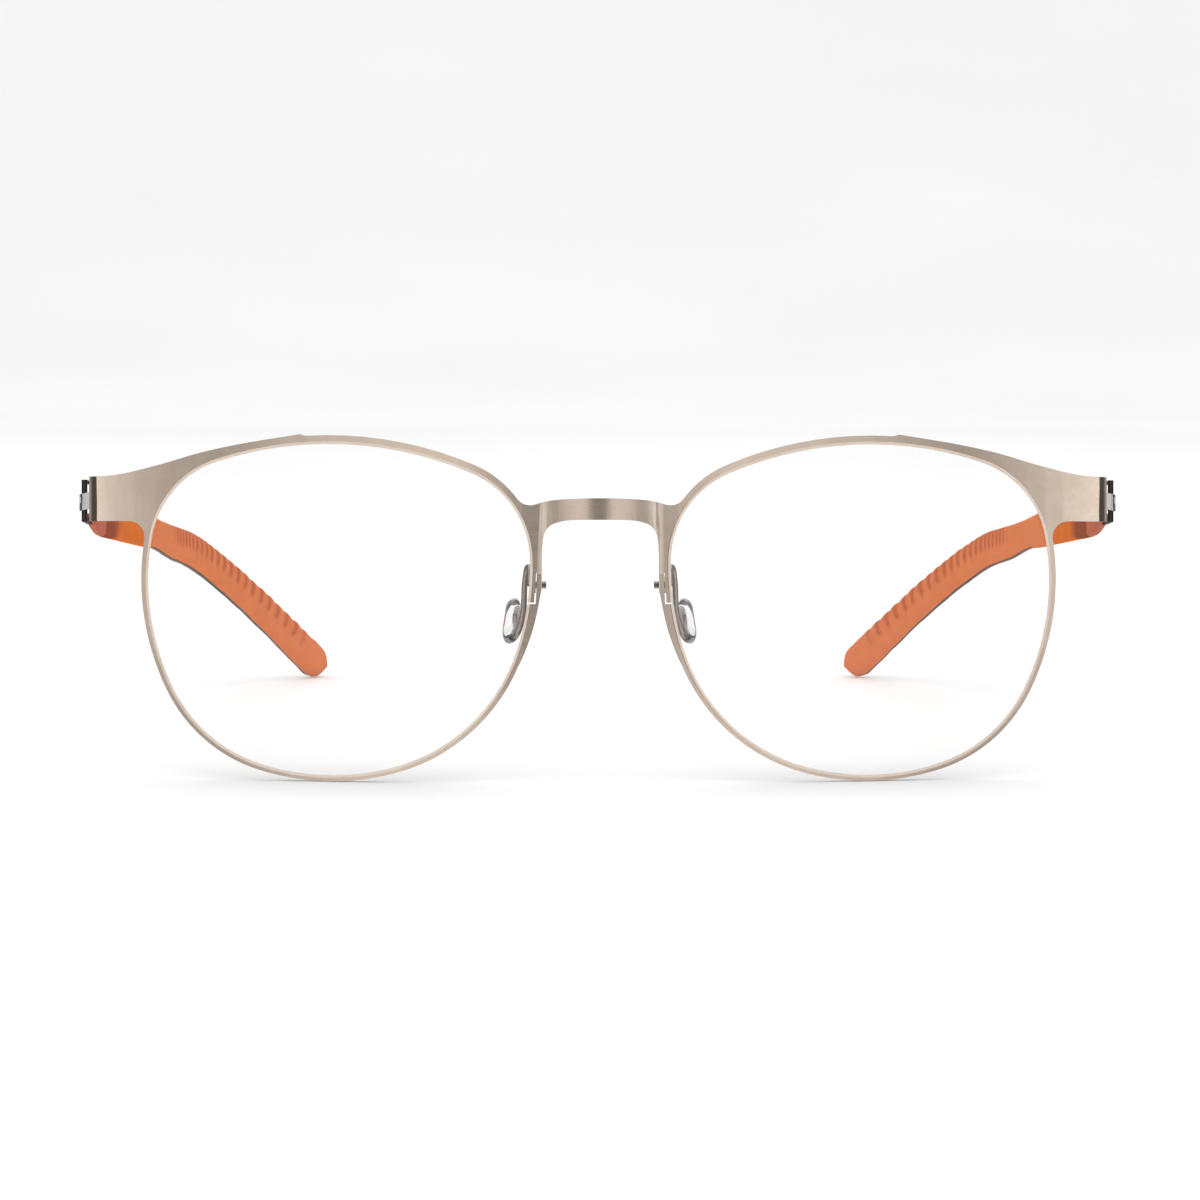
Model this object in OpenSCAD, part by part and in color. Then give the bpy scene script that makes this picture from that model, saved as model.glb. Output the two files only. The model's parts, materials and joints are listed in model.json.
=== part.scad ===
// Round sheet-metal eyeglasses with screwless snap hinges.
// Everything is drawn about the front: X across the face, Y towards the ears, Z up, with the
// bridge near the origin. table_pose() then stands the open glasses on their lower rims and tips.

/* [Front] */
// Width of one lens, boxed
lens_w = 52.1; // [51.8:0.1:52.6]
// Height of one lens, boxed
lens_h = 44.9; // [44:0.1:45.4]
// Distance from the middle of the bridge to the middle of a lens
lens_x = 35.55; // [35.4:0.05:35.7]
// Width of the rim strip round a lens
rim_w = 1; // [0.9:0.05:1.1]
// Thickness of the spring sheet
sheet_t = 0.5; // [0.45:0.05:0.6]
// Radius of the face-form curve of the front
front_r = 300; // [250:10:400]
// Height of the bridge strip
bridge_h = 2.9; // [2.6:0.05:3.2]
// How far the bridge crowns forward of its ends
bridge_crown = 1.3; // [0.8:0.1:1.6]

/* [Hinge] */
// Distance from the middle to the hinge axis
hinge_x = 71; // [70.8:0.1:71.4]
// How far the hinge axis lies behind the bridge
hinge_y = 12; // [11.9:0.1:12.4]
// Height of the hinge bar
bar_h = 5.8; // [5.4:0.1:6.2]
// Diameter of the hinge bar
bar_d = 0.8; // [0.7:0.05:0.9]
// Running clearance round the hinge bar
bar_gap = 0.05; // [0.03:0.01:0.08]

/* [Temples] */
// Straight length from the hinge to where the ear bend starts
straight_l = 76; // [75:0.5:78]
// How far the temples toe in, in degrees
toe_in = 4.6; // [4.4:0.1:5]
// How far the temples slope down, in degrees
slope_down = 4.1; // [3.5:0.1:4.5]
// Thickness of the silicone cover
cover_t = 1.3; // [1.1:0.1:1.6]

/* [Nose pads] */
// Length of a pad
pad_l = 7; // [6.8:0.1:7.4]
// Width of a pad
pad_w = 5; // [4.9:0.1:5.2]
// Diameter of the pad arm's wire
wire_d = 0.8; // [0.7:0.05:0.9]

/* [Hidden] */

// Colours
champagne = [0.78, 0.68, 0.58];
gunmetal = [0.25, 0.25, 0.27];
silver = [0.82, 0.82, 0.84];
orange = [0.85, 0.40, 0.16];
clear = [0.93, 0.95, 0.96];
wire_grey = [0.48, 0.44, 0.42];

// Lens outline: a large arc on each side, and smaller arcs round the corners between them
outer_r = 33;
top_r = 50;
nose_r = 38;
low_r = 33;
upper_corner_r = 13;
outer_corner_r = 20;
nose_corner_r = 24;
// How far the middle of each side's arc lies outwards or upwards of the middle of the lens
outer_up = 4;
top_out = 1.5;
nose_up = 6;
low_out = 0.8;
lens_z = -1.3;
arc_steps = 14;
// The rim is raised against the lens, which makes it wider on top than at the bottom
rim_lift = 0.2;
groove_depth = 0.35;
groove_gap = 0.05;
lens_front = 0.85;
lens_back = 0.95;

// Radius that fills the inside corners of the front's outline
fillet_r = 2.2;

// Bridge
bridge_top = 13.7;
bridge_half = 8;

// End-pieces
leaf_x = hinge_x - 1.2;
leaf_rear = hinge_y - 0.8;
bend_r = 1.6;
endpiece_low = 10.8;
endpiece_top = 17;

// Hinge
hinge_z = 13.7;
bar_r = bar_d / 2;
clip_t = 0.25;
clip_h = 2.3;
clip_skew = 0.35;
window_l = 4.2;
arm_h = 0.55;

// Temple: the ear bend is an arc down and an arc inwards
ear_r = 74;
ear_turn = 42;
toe_r = 78;
toe_turn = 41;
step_s = 18;
cover_start = 2.3;
thin_cover_t = 0.7;
tip_s = 126;
tip_r = 2.5;
cover_lip = 0.35;

// The rim's closure on the nose side: where the slit crosses the strip, and where it comes out
slit_w = 0.2;
step_z = 3.6;
end_z = -0.55;
strip_x = 7.9;
slit_x = 8.75;
slit_mid_z = 1.6;
tongue_lug_x = 8.02;
strip_lug_x = 8.75;
lug_t = 0.35;
lug_y = 2.0;
lug_z = 2.05;
pin_end = 7.3;
arm_x = 9.52;
pin_r = 0.5;
pin_gap = 0.05;

// Nose pads
pad_centre = [11.8, 7.4, -2.75];
pad_lean = 36;
pad_splay = 28;
pad_t = 2.1;

// ---------- helpers ----------

// Bearing of one point from another, and points along an arc from the bearing a0 anticlockwise to a1
function bearing(from, to) = atan2(to.y - from.y, to.x - from.x);
function arc(c, r, a0, a1, n) =
    [for (i = [0:n - 1]) let (a = a0 + ((a1 - a0 + 360) % 360) * i / n) c + r * [cos(a), sin(a)]];

// Centre of the circle of radius r that lies inside the circles p and q, each [radius, centre],
// and touches both of them
function corner_centre(p, q, r) =
    let (
        d = norm(q[1] - p[1]),
        e = (q[1] - p[1]) / d,
        x = (d * d + pow(p[0] - r, 2) - pow(q[0] - r, 2)) / (2 * d)
    ) p[1] + x * e + sqrt(pow(p[0] - r, 2) - x * x) * [-e.y, e.x];

// Depth of the face-form curve at a distance x from the middle
function front_depth(x) = front_r - sqrt(front_r * front_r - x * x);

// Unit normal of a path at point i
function path_dir(p, i) = p[min(i + 1, len(p) - 1)] - p[max(i - 1, 0)];
function path_normal(p, i) = let (d = path_dir(p, i)) [-d.y, d.x] / norm(d);

// Outline of a strip that lies between two offsets from a path
function strip_outline(p, near, far) = concat(
    [for (i = [0:len(p) - 1]) p[i] + near * path_normal(p, i)],
    [for (i = [len(p) - 1:-1:0]) p[i] + far * path_normal(p, i)]
);

// Smooth curve through points, with the given number of steps from each to the next
function spline_at(a, b, c, d, t) =
    0.5 * (2 * b + (c - a) * t + (2 * a - 5 * b + 4 * c - d) * t * t + (3 * b - a - 3 * c + d) * t * t * t);
function spline(p, steps = 6) = concat(
    [for (i = [0:len(p) - 2], k = [0:steps - 1])
        spline_at(p[max(i - 1, 0)], p[i], p[i + 1], p[min(i + 2, len(p) - 1)], k / steps)],
    [p[len(p) - 1]]
);

// Tube of radius r along a path in space, with flat ends
function unit(v) = v / norm(v);
function tube_dir(p, i) = unit(p[min(i + 1, len(p) - 1)] - p[max(i - 1, 0)]);
function tube_side(p, i) = i == 0
    ? unit(cross(tube_dir(p, 0), [0.1, 0.2, 1]))
    : let (s = tube_side(p, i - 1), d = tube_dir(p, i)) unit(s - (s * d) * d);
module tube(p, r, sides = 14) {
    n = len(p);
    rings = [for (i = [0:n - 1])
        let (d = tube_dir(p, i), s = tube_side(p, i), t = cross(d, s))
        [for (k = [0:sides - 1]) p[i] + r * cos(k * 360 / sides) * s + r * sin(k * 360 / sides) * t]];
    polyhedron(
        points = [for (ring = rings) each ring],
        faces = concat(
            [[for (k = [0:sides - 1]) k]],
            [for (i = [0:n - 2], k = [0:sides - 1])
                [i * sides + k, (i + 1) * sides + k,
                 (i + 1) * sides + (k + 1) % sides, i * sides + (k + 1) % sides]],
            [[for (k = [sides - 1:-1:0]) (n - 1) * sides + k]]
        )
    );
}

// Stands the glasses on a table, on the rims' lowest points and the temples' tips
module table_pose() {
    translate([0, table_y(), table_z()]) rotate([-lean(), 0, 0]) children();
}

module on_left() {
    mirror([1, 0, 0]) children();
}

// Everything below is the wearer's left half, at +X; on_left() mirrors it to -X.

// ---------- front ----------

// The four sides of a lens as circles, anticlockwise from the outer side
function lens_sides() = [
    [outer_r, [lens_w / 2 - outer_r, outer_up]],
    [top_r, [top_out, lens_h / 2 - top_r]],
    [nose_r, [nose_r - lens_w / 2, nose_up]],
    [low_r, [low_out, low_r - lens_h / 2]]
];
corner_r = [upper_corner_r, upper_corner_r, nose_corner_r, outer_corner_r];
function lens_corner(i) = corner_centre(lens_sides()[i], lens_sides()[(i + 1) % 4], corner_r[i]);

// Each corner's arc and then the arc of the side that follows it
function lens_points(grow) = [for (i = [0:3])
    let (
        side = lens_sides()[i],
        next = lens_sides()[(i + 1) % 4],
        here = lens_corner(i),
        there = lens_corner((i + 1) % 4),
        a = bearing(next[1], here)
    ) each concat(
        arc(here, corner_r[i] + grow, bearing(side[1], here), a, arc_steps),
        arc(next[1], next[0] + grow, a, bearing(next[1], there), arc_steps)
    )];

module lens_outline(grow = 0) {
    translate([lens_x, lens_z]) polygon(lens_points(grow));
}

module rim_outline() {
    translate([0, rim_lift]) lens_outline(rim_w);
}

// Flat shape of the end-piece, from the hinge to where it has melted into the top of the rim
module endpiece_outline() {
    top = spline([
        [hinge_x, endpiece_top - 0.1], [66, 17.15], [60, 18.5], [54.5, 20.05], [49, 21.2], [44, 22]
    ], 4);
    polygon(concat(top, [[45, 20.5], [52, 14], [60.5, endpiece_low], [hinge_x, endpiece_low]]));
}

// Bridge strip, which dips where it meets the rim and flares into the rim's nose side
module bridge_outline() {
    low = bridge_top - bridge_h;
    top = spline([[-1, bridge_top], [2, bridge_top], [5.4, 13.55], [7.4, 13.3], [9, 12.85], [10.5, 12.4]], 4);
    flare = spline([
        [strip_x, step_z], [7.88, 6.6], [7.5, 9.2], [6.5, low - 0.6], [4.6, low - 0.1], [2, low], [-1, low]
    ], 4);
    polygon(concat(top, [[10.5, step_z]], flare));
}

// Tongue at the lower end of the rim, which reaches up beside the end of the nose strip. Below it
// the strip is wider than elsewhere, and melts into the rim.
module tongue_outline() {
    nose_edge = spline([
        [12.2, -11], [10.6, -8], [9.5, -5.2], [8.9, -3.2], [8.45, -1.2], [8.15, 0.4], [7.92, 1.5]
    ], 4);
    polygon(concat([[strip_x, step_z], [8.8, step_z], [8.9, -0.9], [9.8, -2.2], [14, -11]], nose_edge));
}

// The gap between the two ends of the rim: across the strip, down beside the tongue and out
module rim_slit() {
    half_w = slit_w / 2;
    translate([strip_x - 1, step_z]) square([slit_x - strip_x + 1 - half_w / 2, half_w]);
    polygon([
        [slit_x - 1.5 * half_w, step_z + half_w], [slit_x - half_w / 2, step_z + half_w],
        [slit_x, slit_mid_z], [slit_x + half_w, slit_mid_z],
        [slit_x + slit_w, end_z], [slit_x, end_z], [slit_x - half_w, slit_mid_z]
    ]);
    translate([slit_x, end_z]) square([2.5, slit_w]);
}

module front_outline_half() {
    difference() {
        // fills the inside corners at the bridge and under the end-piece
        offset(r = -fillet_r, $fn = 48) offset(delta = fillet_r) {
            union() {
                rim_outline();
                endpiece_outline();
                bridge_outline();
                tongue_outline();
            }
        }
        lens_outline();
        rim_slit();
    }
}

module front_outline() {
    front_outline_half();
    mirror([1, 0]) front_outline_half();
}

// Path of the sheet seen from above: crowned bridge, face-form curve, bend and hinge leaf
function bridge_r() = (bridge_half * bridge_half + bridge_crown * bridge_crown) / (2 * bridge_crown);
function bridge_depth(x) = front_depth(bridge_half) - sqrt(bridge_r() * bridge_r() - x * x)
    + bridge_r() - bridge_crown;
function bend_start() = leaf_x - bend_r * (1 - leaf_x / front_r);
function half_path() = let (xs = bend_start(), a0 = asin(xs / front_r)) concat(
    [for (x = [0.8:0.8:bridge_half]) [x, bridge_depth(x)]],
    [for (i = [1:24]) let (x = bridge_half + (xs - bridge_half) * i / 24) [x, front_depth(x)]],
    [for (i = [1:8]) let (a = a0 + (90 - a0) * i / 8)
        [xs + bend_r * (sin(a) - sin(a0)), front_depth(xs) + bend_r * (cos(a0) - cos(a))]],
    [[xs + bend_r * (1 - sin(a0)), leaf_rear]]
);
function front_path() = concat(
    [for (i = [len(half_path()) - 1:-1:0]) [-half_path()[i].x, half_path()[i].y]],
    [[0, bridge_depth(0)]],
    half_path()
);

// A plate with a hole for the pad arm's pin, bent back from the rim's end
module lug(x) {
    difference() {
        translate([x, 0.2, lug_z - 1.1]) cube([lug_t, lug_y + 0.7, 2.3]);
        translate([x - 1, lug_y, lug_z]) rotate([0, 90, 0]) cylinder(r = pin_r + pin_gap, h = 3, $fn = 32);
    }
}

module front_frame() {
    color(champagne) table_pose() {
        intersection() {
            rotate([90, 0, 0]) translate([0, 0, -20]) linear_extrude(height = 30) front_outline();
            translate([0, 0, -30]) linear_extrude(height = 60)
                polygon(strip_outline(front_path(), -sheet_t / 2, sheet_t / 2));
        }
        for (x = [tongue_lug_x, strip_lug_x]) {
            lug(x);
            on_left() lug(x);
        }
    }
}

// ---------- lenses ----------

module face_shell(front, back) {
    translate([0, front_r, -30]) difference() {
        cylinder(r = front_r + front, h = 60, $fn = 360);
        translate([0, 0, -1]) cylinder(r = front_r - back, h = 62, $fn = 360);
    }
}

module upright(y0 = -20, y1 = 20) {
    rotate([90, 0, 0]) translate([0, 0, -y1]) linear_extrude(height = y1 - y0) children();
}

module lens() {
    intersection() {
        difference() {
            face_shell(lens_front, lens_back);
            intersection() {
                face_shell(sheet_t / 2 + groove_gap, sheet_t / 2 + groove_gap);
                upright() difference() {
                    lens_outline(3);
                    lens_outline(-groove_gap);
                }
            }
        }
        upright() lens_outline(groove_depth);
    }
}

module lens_right() {
    color(clear) table_pose() lens();
}

module lens_left() {
    color(clear) table_pose() on_left() lens();
}

// ---------- nose pads and their arms ----------

// A point of the pad's own plane: u along the pad, v across it, w out of it towards the nose
function pad_point(u, v, w = 0) =
    let (
        along = [0, sin(pad_lean), cos(pad_lean)],
        out = [-cos(pad_splay), sin(pad_splay) * cos(pad_lean), -sin(pad_splay) * sin(pad_lean)],
        across = cross(along, out)
    ) pad_centre + u * along + v * across + w * out;

// Wire: from the pin behind the rim, back and down beside the pad, then round inside it
function arm_route() = spline(concat(
    [[arm_x, lug_y, lug_z - 0.1], [arm_x, 2.4, 3.2], [9.6, 2.9, 4.4], [9.9, 3.6, 4.3], [10.1, 4, 3.1],
     [10.25, 4.3, 1.6], [10.3, 4.4, 0], [10.4, 4.3, -1.6], [10.75, 4.2, -3.3], [11.3, 4.6, -4.7]],
    [pad_point(-2.65, -0.35), pad_point(-2, -1.65), pad_point(-0.6, -1.9), pad_point(0.9, -1.4),
     pad_point(2.2, -0.6), pad_point(2.65, 0.15), pad_point(2, 0.85)]
), 4);

module pad_arm() {
    translate([pin_end, lug_y, lug_z]) rotate([0, 90, 0]) cylinder(r = pin_r, h = arm_x - pin_end, $fn = 32);
    tube(arm_route(), wire_d / 2);
}

module pad_arm_right() {
    color(wire_grey) table_pose() pad_arm();
}

module pad_arm_left() {
    color(wire_grey) table_pose() on_left() pad_arm();
}

// Teardrop of soft silicone, round at the bottom
module nose_pad() {
    hull() {
        translate(pad_point(pad_w / 2 - pad_l / 2, 0)) rotate([-pad_lean, 0, 0]) rotate([0, 0, -pad_splay])
            scale([pad_t / pad_w, 1, 1]) sphere(d = pad_w, $fn = 32);
        translate(pad_point(pad_l / 2 - 1.2, 0)) rotate([-pad_lean, 0, 0]) rotate([0, 0, -pad_splay])
            scale([0.8, 1, 1]) sphere(d = 2.4, $fn = 32);
    }
}

module nose_pad_right() {
    color(clear) table_pose() nose_pad();
}

module nose_pad_left() {
    color(clear) table_pose() on_left() nose_pad();
}

// ---------- hinges ----------

// Silver spring: a plate on the hinge leaf and a band that hooks round the temple's bar
module hinge_clip() {
    band_r = bar_r + bar_gap + clip_t;
    intersection() {
        difference() {
            union() {
                translate([hinge_x, hinge_y, hinge_z - 2]) cylinder(r = band_r, h = 4, $fn = 48);
                translate([leaf_x - 0.52, hinge_y - band_r - 0.04, hinge_z - 2]) cube([1.7, clip_t, 4]);
                translate([leaf_x - 0.52, leaf_rear - 1.6, hinge_z - 2]) cube([clip_t, 1.8, 4]);
            }
            translate([hinge_x, hinge_y, hinge_z - 3]) cylinder(r = bar_r + bar_gap, h = 6, $fn = 48);
            translate([hinge_x - 1.2, hinge_y - 0.32, hinge_z - 3]) cube([1, 0.64, 6]);
            translate([hinge_x + 0.25, hinge_y - 1, hinge_z - 0.3]) cube([1, 1, 0.85]);
        }
        upright(5, 15) polygon([
            [leaf_x - 1, hinge_z - clip_h / 2 + clip_skew], [hinge_x + 1, hinge_z - clip_h / 2 - clip_skew],
            [hinge_x + 1, hinge_z + clip_h / 2 - clip_skew], [leaf_x - 1, hinge_z + clip_h / 2 + clip_skew]]);
    }
}

module hinge_clip_right() {
    color(silver) table_pose() hinge_clip();
}

module hinge_clip_left() {
    color(silver) table_pose() on_left() hinge_clip();
}

// ---------- temples ----------
// A temple is drawn about its hinge axis, running back along +Y, its inner side towards -X.

module at_hinge() {
    translate([hinge_x, hinge_y, hinge_z]) rotate([0, 0, toe_in]) children();
}

// Middle of the temple seen from above
function toe_path(n = 24) = concat(
    [[0, 0], [0, straight_l - 1]],
    [for (i = [0:n]) let (a = toe_turn * i / n) [-toe_r * (1 - cos(a)), straight_l + toe_r * sin(a)]]
);

// Middle of the temple seen from the side, at a distance s along it, and its direction
function ear_start() = straight_l + 1;
function side_angle(s) =
    -slope_down - max(0, min(s - ear_start(), ear_r * ear_turn * PI / 180)) / ear_r * 180 / PI;
function side_point(s) = s <= ear_start()
    ? [s * cos(slope_down), -s * sin(slope_down)]
    : let (a = side_angle(s), p = side_point(ear_start()))
        p + ear_r * [sin(-a) - sin(slope_down), cos(-a) - cos(slope_down)];

// Edge of a strip seen from the side, through [distance along, distance off the middle] pairs
function side_edge(pairs) = [for (q = spline(pairs, 10))
    let (a = side_angle(q[0])) side_point(q[0]) + q[1] * [-sin(a), cos(a)]];

// Height above or below the middle at distances along the temple. The strip's lower edge comes
// close to the cover's from the ear bend on, and the cover has a heel where the bend starts.
metal_top = [[0, 2.9], [8, 2.9], [50, 1.9], [66, 1.8], [84, 2.2], [tip_s, tip_r - cover_lip]];
metal_low = [[0, 2.9], [8, 2.9], [50, 2.1], [62, 2.35], [70, 2.5], [84, 2.35], [tip_s, tip_r - cover_lip]];
cover_top = [[0, 3], [8, 3], [25, 2.8], [52, 2.35], [66, 2.6], [84, 3.05], [105, 2.95], [tip_s, tip_r]];
cover_low = [[0, 2.3], [3, 3.2], [8, 4], [25, 3.4], [52, 2.35], [62, 2.6], [70, 2.75], [84, 2.6], [tip_s, tip_r]];

function tip_arc(r, n = 10) = let (c = side_point(tip_s), a0 = side_angle(tip_s))
    [for (i = [1:n - 1]) let (a = a0 + 90 - 180 * i / n) c + r * [cos(a), sin(a)]];
function side_shape(top, low, r) =
    concat(side_edge(top), tip_arc(r), reversed(side_edge(flip_sign(low))));
function flip_sign(pairs) = [for (q = pairs) [q[0], -q[1]]];
function reversed(v) = [for (i = [len(v) - 1:-1:0]) v[i]];

// Flat shape seen from the side, given depth in X
module side_slab(x0, x1) {
    translate([x0, 0, 0]) rotate([90, 0, 90]) linear_extrude(height = x1 - x0) children();
}

module plan_slab(near, far) {
    translate([0, 0, -40]) linear_extrude(height = 60) polygon(strip_outline(toe_path(), near, far));
}

module metal_side() {
    polygon(side_shape(metal_top, metal_low, tip_r - cover_lip));
}

module cover_side() {
    polygon(side_shape(cover_top, cover_low, tip_r));
}

// Gunmetal strip with a window behind the hinge bar
module temple() {
    at_hinge() {
        difference() {
            intersection() {
                plan_slab(-sheet_t / 2, sheet_t / 2);
                side_slab(-60, 10) metal_side();
            }
            translate([-5, -1, -bar_h / 2 + arm_h]) cube([10, window_l + 1.4, bar_h - 2 * arm_h]);
        }
        translate([0, 0, -bar_h / 2]) cylinder(r = bar_r, h = bar_h, $fn = 48);
    }
}

module temple_right() {
    color(gunmetal) table_pose() temple();
}

module temple_left() {
    color(gunmetal) table_pose() on_left() temple();
}

// Silicone cover on the inner side of the strip, with lips over the strip's edges
module temple_cover() {
    at_hinge() difference() {
        intersection() {
            plan_slab(-sheet_t / 2, sheet_t / 2 + cover_t);
            side_slab(-60, 10) difference() {
                cover_side();
                translate([-1, -10]) square([cover_start + 1, 20]);
            }
        }
        intersection() {
            plan_slab(-5, sheet_t / 2 + 0.03);
            side_slab(-60, 10) offset(delta = 0.03) metal_side();
        }
        intersection() {
            plan_slab(sheet_t / 2 + thin_cover_t, 8);
            translate([-8, -1, -10]) cube([10, step_s + 1, 20]);
        }
    }
}

module temple_cover_right() {
    color(orange) table_pose() temple_cover();
}

module temple_cover_left() {
    color(orange) table_pose() on_left() temple_cover();
}

// ---------- standing on a table ----------

// Where a rim and a temple's tip touch the table, seen from the side as [y, z] of the front
function rim_foot() = [
    front_depth(lens_x + low_out) + sheet_t / 2,
    lens_z - lens_h / 2 - rim_w + rim_lift
];
function tip_centre() = let (p = side_point(tip_s), a = asin((p.x - straight_l) / toe_r))
    [hinge_y + p.x * cos(toe_in) - toe_r * (1 - cos(a)) * sin(toe_in), hinge_z + p.y];
function lean() = let (d = tip_centre() - rim_foot()) atan2(d.y, d.x) - asin(tip_r / norm(d));
function table_z() = rim_foot().x * sin(lean()) - rim_foot().y * cos(lean());

// The origin lies under the middle of the box, from the front of the lenses to the tips
function front_most() = min([for (p = lens_points(groove_depth))
    (front_depth(lens_x + p.x) - lens_front) * cos(lean()) + (lens_z + p.y) * sin(lean())]);
function rear_most() = tip_centre().x * cos(lean()) + tip_centre().y * sin(lean()) + tip_r;
function table_y() = -(front_most() + rear_most()) / 2;

front_frame();
lens_left();
lens_right();
pad_arm_left();
pad_arm_right();
nose_pad_left();
nose_pad_right();
hinge_clip_left();
hinge_clip_right();
temple_left();
temple_right();
temple_cover_left();
temple_cover_right();
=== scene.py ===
"""Round sheet-metal eyeglasses: the looks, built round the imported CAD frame. Metres throughout."""
import json
import math

import bmesh
import bpy
import numpy as np
from mathutils import Matrix, Vector


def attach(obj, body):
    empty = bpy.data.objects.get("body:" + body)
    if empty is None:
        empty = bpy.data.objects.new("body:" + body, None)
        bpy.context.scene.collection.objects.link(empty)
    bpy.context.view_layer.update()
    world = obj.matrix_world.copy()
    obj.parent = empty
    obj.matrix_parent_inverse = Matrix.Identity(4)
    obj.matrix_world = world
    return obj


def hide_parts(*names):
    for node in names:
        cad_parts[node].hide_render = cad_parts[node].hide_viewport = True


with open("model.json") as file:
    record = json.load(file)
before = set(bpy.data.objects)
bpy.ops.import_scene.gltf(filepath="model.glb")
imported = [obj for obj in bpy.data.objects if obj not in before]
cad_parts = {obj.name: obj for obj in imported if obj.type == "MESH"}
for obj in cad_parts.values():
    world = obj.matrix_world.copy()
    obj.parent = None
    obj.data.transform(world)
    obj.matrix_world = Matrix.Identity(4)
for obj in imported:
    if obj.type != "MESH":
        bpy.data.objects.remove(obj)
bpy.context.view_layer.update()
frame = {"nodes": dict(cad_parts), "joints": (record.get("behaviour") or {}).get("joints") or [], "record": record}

MM = 0.001
MICRON = 1e-6
SIDES = {"left": -1, "right": 1}
JOINTS = {j["child"]: j for j in frame["joints"]}
# The front leans like the hinge axes: up along it, and back away from it
FACE_UP = Vector(frame["joints"][0]["axis"]).normalized()
FACE_BACK = Vector((0, FACE_UP.z, -FACE_UP.y))
# The hinge axes lie this far behind the bridge, and their bars' middles this far above the optical middle
HINGE_BEHIND = 12 * MM
HINGE_ABOVE = 13.7 * MM
scene = bpy.context.scene


# ---------- materials ----------

NOISE_SPAN = (0.3, 0.7)


class Shader:
    """A small builder for one Principled material."""

    def __init__(self, name, **sockets):
        self.mat = bpy.data.materials.new(name)
        self.mat.use_nodes = True
        self.tree = self.mat.node_tree
        self.bsdf = self.tree.nodes["Principled BSDF"]
        for key, value in sockets.items():
            self.bsdf.inputs[key.replace("_", " ")].default_value = value
        self.coords = self.node("ShaderNodeTexCoord").outputs["Object"]

    def node(self, kind, **props):
        made = self.tree.nodes.new(kind)
        for key, value in props.items():
            setattr(made, key, value)
        return made

    def link(self, a, b):
        self.tree.links.new(a, b)

    def noise(self, scale, stretch=(1, 1, 1), detail=4, rough=0.6):
        mapping = self.node("ShaderNodeMapping")
        mapping.inputs["Scale"].default_value = stretch
        self.link(self.coords, mapping.inputs["Vector"])
        made = self.node("ShaderNodeTexNoise")
        made.inputs["Scale"].default_value = scale
        made.inputs["Detail"].default_value = detail
        made.inputs["Roughness"].default_value = rough
        self.link(mapping.outputs["Vector"], made.inputs["Vector"])
        return made.outputs["Fac"]

    def spread(self, value, low, high):
        """Turns a noise, most of which lies inside NOISE_SPAN, into a value from low to high."""
        made = self.node("ShaderNodeMapRange")
        made.inputs["From Min"].default_value = NOISE_SPAN[0]
        made.inputs["From Max"].default_value = NOISE_SPAN[1]
        made.inputs["To Min"].default_value = low
        made.inputs["To Max"].default_value = high
        self.link(value, made.inputs["Value"])
        return made.outputs["Result"]

    def tones(self, value, dark, light):
        """Colours the surface by a noise, from dark to light."""
        ramp = self.node("ShaderNodeValToRGB")
        for stop, place, colour in zip(ramp.color_ramp.elements, NOISE_SPAN, (dark, light)):
            stop.position = place
            stop.color = (*colour, 1)
        self.link(value, ramp.inputs["Fac"])
        self.link(ramp.outputs["Color"], self.bsdf.inputs["Base Color"])

    def zones(self, tints):
        """Each zone is a number from 0 to 1 kept on the mesh, and the colour the surface turns to."""
        colour = self.bsdf.inputs["Base Color"].links[0].from_socket
        for zone, tint in tints.items():
            share = self.node("ShaderNodeAttribute", attribute_name=zone)
            mix = self.node("ShaderNodeMix", data_type="RGBA")
            mix.inputs["B"].default_value = (*tint, 1)
            self.link(share.outputs["Fac"], mix.inputs["Factor"])
            self.link(colour, mix.inputs["A"])
            colour = mix.outputs["Result"]
        self.link(colour, self.bsdf.inputs["Base Color"])

    def rough(self, value, low, high):
        self.link(self.spread(value, low, high), self.bsdf.inputs["Roughness"])

    def bump(self, value, depth, strength=1.0):
        made = self.node("ShaderNodeBump")
        made.inputs["Strength"].default_value = strength
        made.inputs["Distance"].default_value = depth
        self.link(value, made.inputs["Height"])
        self.link(made.outputs["Normal"], self.bsdf.inputs["Normal"])


def brushed_metal(name, dark, light, rough, zones=None, depth=4 * MICRON, soft=0.05):
    """Sheet or wire with fine lines that run sideways; soft is how far its roughness varies."""
    shader = Shader(name, Metallic=1.0)
    lines = shader.noise(9000, stretch=(0.02, 1, 1), detail=3)
    cloud = shader.noise(260, detail=3)
    shader.tones(cloud, dark, light)
    shader.zones(zones or {})
    shader.rough(lines, rough - soft, rough + soft)
    shader.bump(lines, depth, 0.6)
    return shader.mat


def silicone(name, dark, light, zones, rough):
    """Matt moulded rubber that lets a little light in."""
    shader = Shader(name)
    cloud = shader.noise(420, detail=5)
    grain = shader.noise(6500, detail=3)
    shader.bsdf.inputs["Specular IOR Level"].default_value = 0.0
    shader.bsdf.inputs["Subsurface Weight"].default_value = 0.1
    shader.bsdf.inputs["Subsurface Scale"].default_value = 0.4 * MM
    shader.tones(cloud, dark, light)
    shader.zones(zones)
    shader.rough(cloud, rough - 0.05, rough + 0.06)
    shader.bump(grain, 10 * MICRON, 0.5)
    return shader.mat


def clear(name, tint, ior, rough_low, rough_high, gloss=0.5):
    """Glass or clear rubber."""
    shader = Shader(name, IOR=ior, Specular_IOR_Level=gloss)
    shader.bsdf.inputs["Transmission Weight"].default_value = 1.0
    cloud = shader.noise(300, detail=3)
    shader.tones(cloud, tint, (1, 1, 1))
    shader.rough(cloud, rough_low, rough_high)
    return shader.mat


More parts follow.
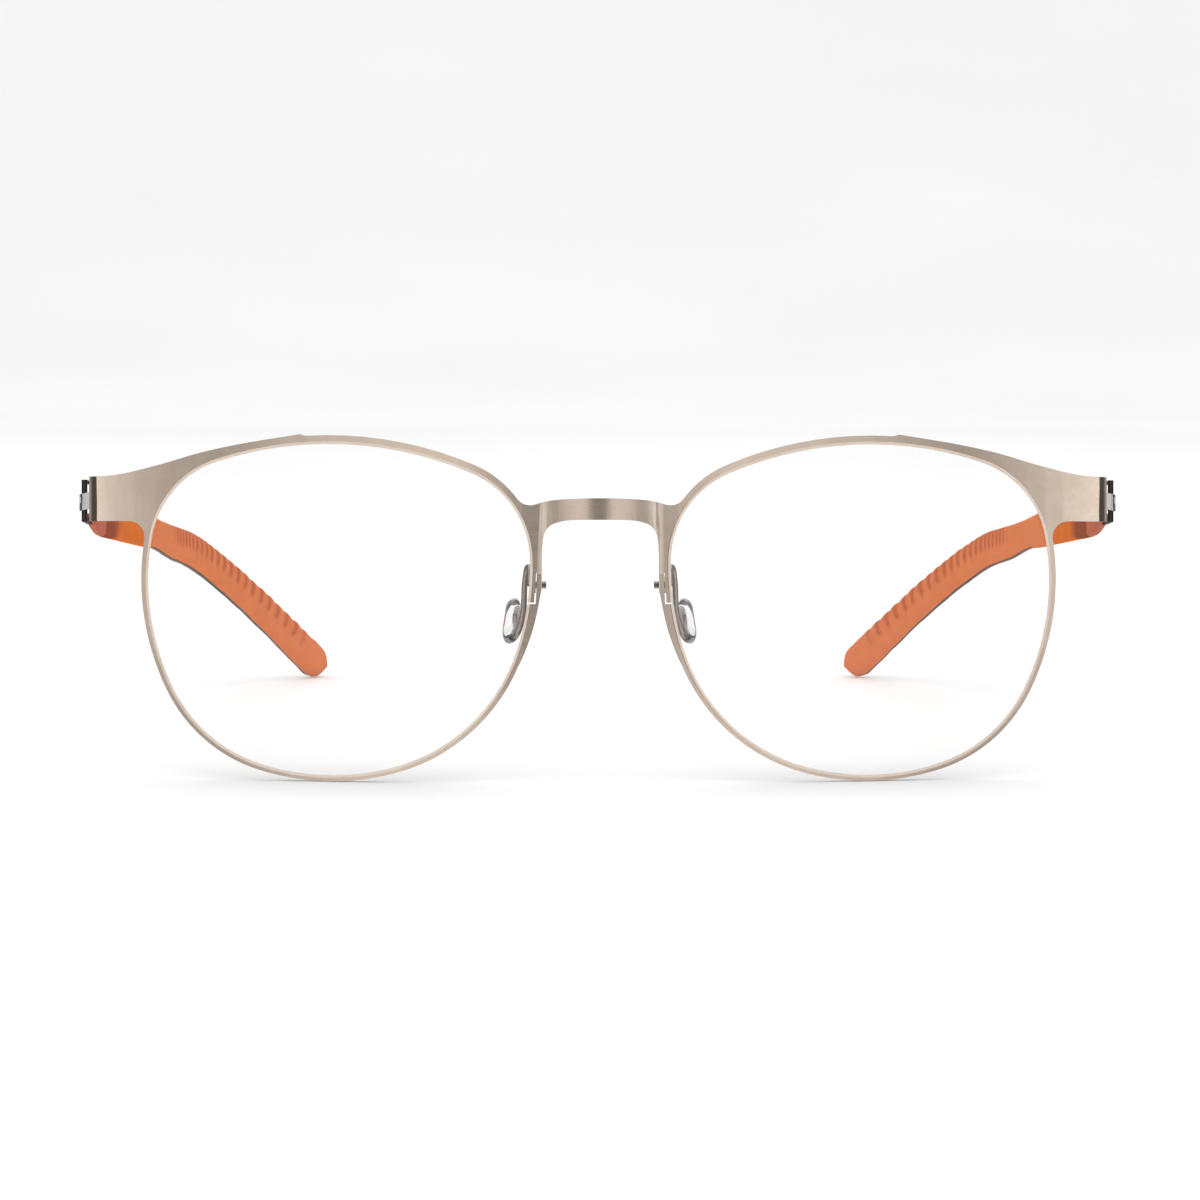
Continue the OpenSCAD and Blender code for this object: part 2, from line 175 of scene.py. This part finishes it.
MATERIALS = {
    "champagne_steel": brushed_metal(
        "champagne_steel", (0.72, 0.585, 0.48), (0.79, 0.66, 0.55), 0.15, {
            # painted shade: the sheet's cut edges are darkened to this brown
            "cut": (0.36, 0.27, 0.20),
        }, soft=0.04),
    "gunmetal_steel": brushed_metal(
        "gunmetal_steel", (0.055, 0.053, 0.05), (0.095, 0.09, 0.085), 0.32),
    "silver_spring": brushed_metal(
        "silver_spring", (0.72, 0.71, 0.72), (0.84, 0.83, 0.84), 0.24),
    "polished_wire": brushed_metal(
        "polished_wire", (0.26, 0.225, 0.21), (0.35, 0.31, 0.29), 0.14, depth=MICRON),
    "orange_silicone": silicone("orange_silicone", (0.62, 0.150, 0.036), (0.69, 0.180, 0.046), {
        "thin": (0.50, 0.155, 0.095),
        # painted shade on the thin part in front of the step
        "band": (0.30, 0.085, 0.045),
        # painted shade on the front-facing rear wall of each rib's groove
        "groove_and_shade": (0.42, 0.075, 0.016),
    }, 0.55),
    "clear_silicone": clear("clear_silicone", (0.90, 0.91, 0.92), 1.41, 0.03, 0.08),
    "lens_clear": clear("lens_clear", (0.985, 0.99, 0.99), 1.5, 0.0, 0.01, gloss=0.06),
}
SLOT_OF = {s["node"]: s["material_slot"] for s in frame["record"]["subparts"]}


# ---------- pieces ----------

def scene_object(name, bm, material):
    """Turns a finished bmesh into an object of the scene."""
    mesh = bpy.data.meshes.new(name)
    bm.to_mesh(mesh)
    bm.free()
    mesh.materials.append(material)
    made = bpy.data.objects.new(name, mesh)
    scene.collection.objects.link(made)
    return made


def add_piece(name, bm, node, smooth_below):
    """A piece that stands for a CAD node; edges flatter than smooth_below, in degrees, look smooth."""
    slot = SLOT_OF[node]
    piece = scene_object(name, bm, MATERIALS[slot])
    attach(piece, body_of(node))
    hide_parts(node)
    piece.data.set_sharp_from_angle(angle=math.radians(smooth_below))
    return piece


# Points closer than this are one point, faces flatter than this are one face, and edges sharper are rounded
WELD = 2 * MICRON
FLAT_BELOW = math.radians(0.2)
ROUND_ABOVE = math.radians(35)


def welded(node, edge):
    """A clean copy of a CAD node's mesh, its sharp edges rounded by a bevel of width edge."""
    bm = bmesh.new()
    bm.from_mesh(frame["nodes"][node].data)
    bmesh.ops.remove_doubles(bm, verts=bm.verts, dist=WELD)
    if node == "front_frame":
        close_step(bm)
    bmesh.ops.dissolve_limit(bm, angle_limit=FLAT_BELOW, verts=bm.verts, edges=bm.edges)
    bmesh.ops.recalc_face_normals(bm, faces=bm.faces)
    if edge:
        sharp = [e for e in bm.edges if len(e.link_faces) == 2 and e.calc_face_angle(0) > ROUND_ABOVE]
        bmesh.ops.bevel(bm, geom=sharp, offset=edge, offset_type="OFFSET", segments=2,
                        profile=0.5, affect="EDGES", clamp_overlap=True)
    # the cut edges' painted shade, a share kept on each face
    cut = bm.faces.layers.float.new("cut")
    for face in bm.faces:
        face.smooth = True
        face[cut] = painted_edge_shade(face)
    return bm


# Where the tongue's end lies across the front and above the optical middle, and how far it comes down
STEP_X = (6.9 * MM, 8.72 * MM)
STEP_Z = (3.62 * MM, 3.78 * MM)
STEP_DOWN = 0.075 * MM


def close_step(bm):
    """The tongue rests on the end of the nose strip: the slit across it is a seam that lets no light by."""
    hinge = Vector(frame["joints"][0]["pos_m"])
    for vert in bm.verts:
        z = (vert.co - hinge).dot(FACE_UP) + HINGE_ABOVE
        if STEP_X[0] < abs(vert.co.x) < STEP_X[1] and STEP_Z[0] < z < STEP_Z[1]:
            vert.co -= FACE_UP * STEP_DOWN


# The front's leaves, beside the hinges, start this far out
LEAF_FROM = 68.4 * MM


def painted_edge_shade(face):
    """1 on the sheet's cut edges, which get painted shade to look darker than its faces; the leaf's faces look
    sideways.
    """
    if abs(face.calc_center_median().x) > LEAF_FROM:
        return float(abs(face.normal.dot(FACE_UP)) > 0.7)
    return float(abs(face.normal.dot(FACE_BACK)) < 0.5)


def body_of(node):
    return next(b for b, nodes in frame["record"]["behaviour"]["bodies"].items() if node in nodes)


def refined(node, name, edge=0.0):
    """A CAD node's own shape with clean, rounded edges and even shading."""
    piece = add_piece(name, welded(node, edge), node, smooth_below=46 if edge else 32)
    level = piece.modifiers.new("level", "WEIGHTED_NORMAL")
    level.keep_sharp = True
    level.weight = 50


# ---------- temple covers ----------

# How far apart a temple's middle line is sought, and the step in which its ends are found
LINE_STEP = 2 * MM
FIND_STEP = 0.05 * MM
# A strip's section lower than this is only part of its round tip
LEAST_SECTION = 1 * MM
# The faces of a section take in what lies within this share of its thickness
FACE_SHARE = 0.4
# Unevenness along the cover is smoothed over this length
EVEN_OUT = 4 * MM

# Ribs: their pitch, depth and bow, where they start and end, and where they fade down the cover
RIB_PITCH = 2.75 * MM
RIB_DEPTH = 0.2 * MM
RIB_BOW = 0.7 * MM
RIB_BOW_DOWN_TO = 0.7
RIBS_FAINT_FROM = 50 * MM
RIBS_FAINT = 0.25
RIBS_CLEAR_FROM = 68 * MM
RIBS_END_BEFORE_TIP = 6 * MM
RIBS_FADE_DOWN = (0.46, 0.68)
# Middle and width, in pitches, of a rib's groove and of the shade beside it
GROOVE = (0.42, 0.2)
SHADE = (0.66, 0.16)

# Thickness in front of the step, and behind it until the cover's own thickness is measured
THIN_COVER = 0.7 * MM
FULL_COVER = 1.3 * MM
STEP_FROM = 16.5 * MM
STEP_TO = 18.5 * MM
MEASURED_FROM = STEP_TO + 1 * MM
# Painted shade: a darker band lies on the thin part, in front of the step
STEP_SHADE_FROM = 11 * MM
STEP_SHADE_SOFT = 0.2 * MM
# The lower lip ends from BARE_FROM on, over BARE_OVER, and then the strip shows BARE_EDGE of its lower edge
BARE_FROM = 42 * MM
BARE_OVER = 8 * MM
BARE_EDGE = 0.16 * MM
# A whole lower lip may reach this far below that
LIP_REACH = 2 * MM
# Gaps between the cover and the strip: off its face, over its edges, and under a lip that has ended
FACE_GAP = 0.02 * MM
FIT_GAP = 0.03 * MM
LIP_END = 0.06 * MM
# The cover keeps at least this much over the strip's edges, and the strip's slot stays this high
LIP_LEAST = 0.07 * MM
SLOT_LEAST = 0.1 * MM
# Length over which the tip rounds off, and over which the stations crowd together
TIP_ROUND = 2.3 * MM
TIP_STATIONS = 3 * MM
# Rounding of the inner edges, crown of the inner face and width of the lips' edge
TURN_OF_THICKNESS = 0.7
TURN_OF_HEIGHT = 0.45
CROWN = 0.12
LIP_EDGE = 0.12 * MM
EDGE_POINTS = 4
TURN_POINTS = 8
FLAT_POINTS = 22


class Cut:
    """Where planes cut a CAD node: the corners of each section, measured in a frame of the caller's."""

    def __init__(self, node):
        mesh = frame["nodes"][node].data
        points = np.array([v.co for v in mesh.vertices])
        ends = np.array([e.vertices for e in mesh.edges])
        self.a, self.b = points[ends[:, 0]], points[ends[:, 1]]

    def section(self, point, way, into, up):
        """Corners of the section by the plane through a point, as (inwards, up) from it."""
        da = (self.a - point) @ np.array(way)
        db = (self.b - point) @ np.array(way)
        hit = (da < 0) != (db < 0)
        if hit.sum() < 3:
            return None
        t = (da[hit] / (da[hit] - db[hit]))[:, None]
        corners = self.a[hit] + (self.b[hit] - self.a[hit]) * t - np.array(point)
        return corners @ np.array([into, up]).T


def cross_axes(way, inward):
    """The two directions across a temple: out of its upright wall towards the middle, and up along it."""
    into = way.cross(FACE_UP).normalized()
    into = into if into.dot(inward) > 0 else -into
    up = way.cross(into)
    return into, up if up.z > 0 else -up


def temple_line(strip, hinge, inward):
    """The middle line of a temple strip, found step by step from its own mesh and then smoothed."""
    way = FACE_BACK.copy()
    point = hinge + way * LINE_STEP
    line = []
    while (corners := strip.section(point, way, *cross_axes(way, inward))) is not None:
        into, up = cross_axes(way, inward)
        n, u = (corners.min(axis=0) + corners.max(axis=0)) / 2
        line.append(point + into * float(n) + up * float(u))
        if len(line) > 3:
            way = (way * 2 + (line[-1] - line[-4]).normalized()).normalized()
        point = line[-1] + way * LINE_STEP
    for _ in range(3):
        line = [line[0]] + [(a + b * 2 + c) / 4 for a, b, c in zip(line, line[1:], line[2:])] + [line[-1]]
    return line


def edges_of(corners):
    """Outer face, inner face, and the top and low edge at the outer and at the inner face."""
    back, inner = corners[:, 0].min(), corners[:, 0].max()
    outer_half = corners[corners[:, 0] < back + FACE_SHARE * (inner - back)][:, 1]
    inner_half = corners[corners[:, 0] > inner - FACE_SHARE * (inner - back)][:, 1]
    return back, inner, outer_half.max(), outer_half.min(), inner_half.max(), inner_half.min()


def smoothstep(value, low, high):
    """0 below low, 1 above high, and a smooth rise between them."""
    t = min(max((value - low) / (high - low), 0.0), 1.0)
    return t * t * (3 - 2 * t)


def bell(value, middle, width):
    return math.exp(-((value - middle) / width) ** 2)


def rib(along, down, length):
    """Depth and shade, from 0 to 1, of the gill-like grooves at a place along and down the temple."""
    bow = RIB_BOW * math.sin(math.pi * min(down / RIB_BOW_DOWN_TO, 1.0))
    phase = ((along - bow) / RIB_PITCH) % 1.0
    end = length - RIBS_END_BEFORE_TIP
    strength = RIBS_FAINT * smoothstep(along, RIBS_FAINT_FROM, RIBS_FAINT_FROM + 4 * MM)
    strength += (1 - RIBS_FAINT) * smoothstep(along, RIBS_CLEAR_FROM - 8 * MM, RIBS_CLEAR_FROM)
    strength *= 1 - smoothstep(along, end - 3 * MM, end)
    strength *= 1 - smoothstep(down, *RIBS_FADE_DOWN)
    return bell(phase, *GROOVE) * strength, bell(phase, *SHADE) * strength


def lip_points(side, level, metal, lip, face, back):
    """Where one lip ends, lies on the strip and bends; lip is 1 round the strip's edge, 0 where it is bare."""
    rim = back + (face - back) * (1 - lip)
    fit = (metal + side * FIT_GAP) * lip + (level - side * LIP_END) * (1 - lip)
    return rim, fit, fit + (level - fit) * 0.7


def slab_outline(cut):
    """The outline as (inwards, up), without ribs: a slab inside the strip, with lips over its edges."""
    face, back, inner, top, low = cut["face"], cut["back"], cut["inner"], cut["top"], cut["low"]
    height = top - low
    turn = min(TURN_OF_THICKNESS * (inner - face), TURN_OF_HEIGHT * height)
    shoulder = inner - turn
    rim, fit, bend = lip_points(1, top, cut["metal_top"], cut["lip_top"], face, back)
    low_rim, low_fit, low_bend = lip_points(-1, low, cut["metal_low"], cut["lip_low"], face, back)
    start = min(rim + LIP_EDGE, shoulder - FACE_GAP)
    low_start = min(low_rim + LIP_EDGE, shoulder - FACE_GAP)
    turns = [math.pi / 2 * i / (TURN_POINTS - 1) for i in range(TURN_POINTS)]
    return [
        (face, (fit + low_fit) / 2), (face, fit), (rim, fit), (rim, bend),
        *((start + (shoulder - start) * i / EDGE_POINTS, top) for i in range(EDGE_POINTS)),
        *((shoulder + turn * math.sin(a), top - turn * (1 - math.cos(a))) for a in turns),
        *((inner, top - turn - (height - 2 * turn) * i / FLAT_POINTS) for i in range(1, FLAT_POINTS)),
        *((shoulder + turn * math.cos(a), low + turn * (1 - math.sin(a))) for a in turns),
        *((low_start + (shoulder - low_start) * i / EDGE_POINTS, low)
          for i in range(EDGE_POINTS - 1, -1, -1)),
        (low_rim, low_bend), (low_rim, low_fit), (face, low_fit),
    ]


def cover_profile(cut, along, length):
    """One section of a cover as (inwards, up, painted shade), with its crown, ribs and slanting edges."""
    face, back, inner, top, low = cut["face"], cut["back"], cut["inner"], cut["top"], cut["low"]
    height = top - low
    turn = min(TURN_OF_THICKNESS * (inner - face), TURN_OF_HEIGHT * height)
    crown = CROWN * (inner - face)
    made = []
    for n, u in slab_outline(cut):
        shade = 0.0
        if n > face + 0.3 * MM:
            n -= crown * ((u - (top + low) / 2) / (height / 2)) ** 2 * (n - face) / (inner - face)
            groove_and_shade, shade = rib(along, (top - u) / height, length)
            on_top = smoothstep(u, top - turn, top)
            n -= RIB_DEPTH * groove_and_shade * (1 - 0.5 * on_top)
            u -= RIB_DEPTH * groove_and_shade * 0.9 * on_top
        across = (n - back) / (inner - back)
        u += (1 - across) * ((u - low) * cut["skew_top"] + (top - u) * cut["skew_low"]) / height
        made.append((n, u, shade))
    return made


def cover_stations(start, length):
    """Distances along a cover, close together where the step, the ribs and the tip are."""
    s, stations = start, []
    while s < length - TIP_STATIONS:
        stations.append(s)
        s += 0.4 * MM if s > RIBS_FAINT_FROM - 2 * MM or s < STEP_TO else 1.2 * MM
    stations += [length - TIP_STATIONS * (1 - math.sin(math.pi / 2 * i / 24)) for i in range(1, 24)]
    return sorted(stations)


def evened(stations, values, until):
    """Values along the cover, smoothed over a few millimetres, but not where the tip is round."""
    s, v = np.array(stations), np.array(values)
    out = v.copy()
    for i in range(len(s)):
        if s[i] < until:
            weight = np.exp(-((s - s[i]) / EVEN_OUT) ** 2) * (s < until)
            slope = np.polyfit(s - s[i], v, 1, w=np.sqrt(weight + 1e-9))
            out[i] = slope[1]
    return out


class Temple:
    """One temple's route, and how its cover and its strip lie across it."""

    MEASURES = ("top", "low", "skew_top", "skew_low", "face", "back", "inner", "metal_top", "metal_low")

    def __init__(self, side):
        self.inward = Vector((-SIDES[side], 0, 0))
        self.cover, self.strip = Cut(f"temple_cover_{side}"), Cut(f"temple_{side}")
        hinge = Vector(JOINTS[f"temple_arm_{side}"]["pos_m"])
        self.line = line = temple_line(self.strip, hinge, self.inward)
        self.reach = [(line[0] - hinge).length]
        for a, b in zip(line, line[1:]):
            self.reach.append(self.reach[-1] + (b - a).length)
        self.ways = [(after - before).normalized()
                     for before, after in zip(line[:1] + line[:-1], line[1:] + line[-1:])]
        self.length = self.reach[-1]
        while self.strip.section(*self.at(self.length)) is not None:
            self.length += FIND_STEP
        self.start = self.reach[0]
        while self.cover.section(*self.at(self.start)) is None:
            self.start += FIND_STEP
        self.start += FIND_STEP
        self.round_from = self.length - TIP_ROUND

    def at(self, s):
        """The point at a distance from the hinge, and the directions along, inwards and up there."""
        i = min(max(int(np.searchsorted(self.reach, s)) - 1, 0), len(self.line) - 2)
        t = (s - self.reach[i]) / (self.reach[i + 1] - self.reach[i])
        way = self.ways[i].lerp(self.ways[i + 1], min(max(t, 0), 1)).normalized()
        return self.line[i].lerp(self.line[i + 1], t), way, *cross_axes(way, self.inward)

    def measured(self, stations):
        """The MEASURES at each station, evened out along the temple."""
        rows = {key: [] for key in self.MEASURES}
        metal = None
        for s in stations:
            place = self.at(min(s, self.round_from))
            back, inner, top_out, low_out, top, low = edges_of(self.cover.section(*place))
            found = self.strip.section(*place)
            if found is not None and np.ptp(found[:, 1]) > LEAST_SECTION:
                metal = edges_of(found)
            values = (top, low, top_out - top, low_out - low, metal[1] + FACE_GAP, back, inner,
                      metal[4], metal[5])
            for key, value in zip(rows, values):
                rows[key].append(float(value))
        return {key: evened(stations, values, self.round_from) for key, values in rows.items()}

    def shaped(self, cut, s):
        """A measured section with the thin end, the bare lower edge and the round tip worked in."""
        full = cut["inner"] - cut["face"] if s > MEASURED_FROM else FULL_COVER
        cut["inner"] = cut["face"] + THIN_COVER + (full - THIN_COVER) * smoothstep(s, STEP_FROM, STEP_TO)
        cut["lip_top"] = 1.0
        cut["lip_low"] = 1.0 - smoothstep(s, BARE_FROM, BARE_FROM + BARE_OVER)
        cut["low"] = max(cut["low"], cut["metal_low"] + BARE_EDGE - (cut["lip_low"] * LIP_REACH))
        if s > self.round_from:
            middle = (cut["top"] + cut["low"]) / 2
            shrink = math.sqrt(1 - ((s - self.round_from) / TIP_ROUND) ** 2)
            for key in ("top", "low"):
                cut[key] = middle + (cut[key] - middle) * shrink
        cut["metal_top"] = min(cut["metal_top"], cut["top"] - LIP_LEAST)
        cut["metal_low"] = max(cut["metal_low"], cut["low"] + LIP_LEAST)
        if cut["metal_top"] - cut["metal_low"] < SLOT_LEAST:
            cut["metal_top"] = (cut["top"] + cut["low"]) / 2 + SLOT_LEAST / 2
            cut["metal_low"] = cut["metal_top"] - SLOT_LEAST
        return cut


def loft(bm, rings):
    """Skins the rings of points in their order and closes both ends."""
    for a, b in zip(rings, rings[1:]):
        for k in range(len(a)):
            m = (k + 1) % len(a)
            bm.faces.new((a[k], a[m], b[m], b[k]))
    bm.faces.new(list(reversed(rings[0])))
    bm.faces.new(rings[-1])
    bmesh.ops.recalc_face_normals(bm, faces=bm.faces)
    for face in bm.faces:
        face.smooth = True


def build_cover(side):
    """A silicone cover lofted along its temple, with a thin front end, ribs and a round tip."""
    temple = Temple(side)
    stations = cover_stations(temple.start, temple.length)
    rows = temple.measured(stations)
    bm = bmesh.new()
    zones = {zone: bm.verts.layers.float.new(zone) for zone in ("thin", "band", "groove_and_shade")}
    rings = []
    for k, s in enumerate(stations):
        cut = temple.shaped({key: float(values[k]) for key, values in rows.items()}, s)
        thin = 1 - smoothstep(s, STEP_FROM, STEP_TO)
        point, way, into, up = temple.at(s)
        ring = []
        for n, u, groove_and_shade in cover_profile(cut, s, temple.length):
            vert = bm.verts.new(point + into * n + up * u)
            vert[zones["thin"]] = thin
            # painted shade in front of the step
            vert[zones["band"]] = smoothstep(s, STEP_SHADE_FROM - STEP_SHADE_SOFT, STEP_SHADE_FROM) * thin
            # the painted shade beside each rib's groove
            vert[zones["groove_and_shade"]] = groove_and_shade
            ring.append(vert)
        rings.append(ring)
    loft(bm, rings)
    add_piece(f"cover_silicone_{side}", bm, f"temple_cover_{side}", smooth_below=40)


# ---------- the glasses ----------

SHEET_EDGE = 0.05 * MM
CLIP_EDGE = 0.03 * MM

refined("front_frame", "front_sheet", SHEET_EDGE)
for side in SIDES:
    refined(f"lens_{side}", f"lens_glass_{side}")
    refined(f"pad_arm_{side}", f"pad_wire_{side}")
    refined(f"nose_pad_{side}", f"pad_silicone_{side}")
    refined(f"hinge_clip_{side}", f"clip_spring_{side}", CLIP_EDGE)
    refined(f"temple_{side}", f"temple_strip_{side}", SHEET_EDGE)
    build_cover(side)


# ---------- studio ----------

# The camera's distance from the bridge, and its turn to one side
CAMERA_FAR = 0.5
CAMERA_YAW = math.radians(-1.04)
# How far behind the bridge the camera aims
AIM_BEHIND = 3 * MM
# Focal length as a share of the picture's width
FOCAL_SHARE = 3700 / 1200
SENSOR = 36.0


def optical_middle():
    """The point between the lenses, found from the left hinge."""
    hinge = Vector(JOINTS["temple_arm_left"]["pos_m"])
    on_axis = Vector((0, hinge.y, hinge.z))
    return on_axis - FACE_BACK * HINGE_BEHIND - FACE_UP * HINGE_ABOVE


def add_camera():
    """A camera straight before the front, square to its lean."""
    data = bpy.data.cameras.new("camera")
    data.sensor_width = SENSOR
    data.lens = FOCAL_SHARE * SENSOR
    data.clip_start = 0.01
    data.clip_end = 50
    camera = bpy.data.objects.new("camera", data)
    scene.collection.objects.link(camera)
    aim = optical_middle() + FACE_BACK * AIM_BEHIND
    back = Matrix.Rotation(CAMERA_YAW, 3, FACE_UP) @ FACE_BACK
    camera.location = aim - back * (CAMERA_FAR + AIM_BEHIND)
    right = back.cross(FACE_UP).normalized()
    up = right.cross(back).normalized()
    basis = Matrix((right, up, -back)).transposed()
    camera.rotation_euler = basis.to_euler()
    scene.camera = camera


# The floor's near edge, where it starts to curve up, its back wall and that wall's top
FLOOR_NEAR, FLOOR_FLAT_TO, WALL_AT, WALL_TOP = -3.0, 1.2, 3.0, 3.0
FLOOR_HALF_WIDTH = 4.0
SWEEP_STEPS = 24


def add_floor():
    """A pale floor that sweeps up into a wall; reflections see the softboxes and not the floor."""
    sweep = WALL_AT - FLOOR_FLAT_TO
    profile = [(FLOOR_NEAR, 0.0), (-0.5, 0.0), (FLOOR_FLAT_TO, 0.0)]
    for i in range(1, SWEEP_STEPS + 1):
        a = math.pi / 2 * i / SWEEP_STEPS
        profile.append((FLOOR_FLAT_TO + sweep * math.sin(a), sweep * (1 - math.cos(a))))
    profile.append((WALL_AT, WALL_TOP))
    bm = bmesh.new()
    left = [bm.verts.new((-FLOOR_HALF_WIDTH, y, z)) for y, z in profile]
    right = [bm.verts.new((FLOOR_HALF_WIDTH, y, z)) for y, z in profile]
    for i in range(len(profile) - 1):
        bm.faces.new((left[i], right[i], right[i + 1], left[i + 1])).smooth = True
    shader = Shader("floor_paint")
    cloud = shader.noise(3, detail=2)
    shader.tones(cloud, (0.90, 0.90, 0.90), (0.93, 0.93, 0.93))
    shader.rough(cloud, 0.85, 0.95)
    floor = scene_object("floor", bm, shader.mat)
    floor.visible_glossy = False


def add_light(name, place, aim, size, power):
    """A soft rectangular lamp at a place, turned towards its aim."""
    data = bpy.data.lights.new(name, "AREA")
    data.shape = "RECTANGLE"
    data.size, data.size_y = size
    data.energy = power
    light = bpy.data.objects.new(name, data)
    scene.collection.objects.link(light)
    light.location = place
    light.rotation_euler = (Vector(aim) - Vector(place)).to_track_quat("-Z", "Y").to_euler()


def add_world():
    """Even white light from all round."""
    world = bpy.data.worlds.new("studio")
    world.use_nodes = True
    back = world.node_tree.nodes["Background"]
    back.inputs["Color"].default_value = (1, 1, 1, 1)
    back.inputs["Strength"].default_value = 1.0
    scene.world = world


# Brightness of the softbox wall round the glasses, by degrees away from straight ahead
SOFTBOXES = [(0, 0.27), (4.8, 0.29), (7.5, 0.9), (20, 0.72), (25, 0.42), (30, 0.5), (33.5, 0.72), (35, 1.15),
             (42, 1.2), (44, 0.08), (90, 0.1), (115, 0.35), (150, 0.5), (180, 0.5)]
# Strength of the light, its distance from the glasses, and half its height
SOFTBOX_GLOW = 1.25
SOFTBOX_FAR = 1.1
SOFTBOX_HIGH = 1.6


def softbox_light():
    """Light whose brightness follows SOFTBOXES, by the turn kept on the wall's points."""
    mat = bpy.data.materials.new("softbox_light")
    mat.use_nodes = True
    tree = mat.node_tree
    tree.nodes.clear()
    where = tree.nodes.new("ShaderNodeAttribute")
    where.attribute_name = "turn"
    ramp = tree.nodes.new("ShaderNodeValToRGB")
    stops = ramp.color_ramp.elements
    for k, (degrees, level) in enumerate(SOFTBOXES):
        stop = stops[k] if k < 2 else stops.new(degrees / 180)
        stop.position = degrees / 180
        stop.color = (level / SOFTBOX_GLOW,) * 3 + (1,)
    glow = tree.nodes.new("ShaderNodeEmission")
    glow.inputs["Strength"].default_value = SOFTBOX_GLOW
    out = tree.nodes.new("ShaderNodeOutputMaterial")
    tree.links.new(where.outputs["Fac"], ramp.inputs["Fac"])
    tree.links.new(ramp.outputs["Color"], glow.inputs["Color"])
    tree.links.new(glow.outputs["Emission"], out.inputs["Surface"])
    return mat


def add_softboxes():
    """A round wall of softboxes and dark flags that only reflections see."""
    bm = bmesh.new()
    turn = bm.verts.layers.float.new("turn")
    columns = []
    for degrees in range(-180, 181, 2):
        a = math.radians(degrees)
        x, y = SOFTBOX_FAR * math.sin(a), -SOFTBOX_FAR * math.cos(a)
        column = [bm.verts.new((x, y, z)) for z in (-SOFTBOX_HIGH, SOFTBOX_HIGH)]
        for vert in column:
            vert[turn] = abs(degrees) / 180
        columns.append(column)
    for a, b in zip(columns, columns[1:]):
        bm.faces.new((a[0], b[0], b[1], a[1]))
    wall = scene_object("softboxes", bm, softbox_light())
    wall.visible_camera = False
    wall.visible_diffuse = False
    wall.visible_shadow = False
    wall.visible_transmission = False


add_camera()
add_floor()
add_world()
add_softboxes()
add_light("overhead", (0, 0.1, 1.0), (0, 0, 0), (1.6, 1.2), 4)
scene.view_settings.view_transform = "Standard"
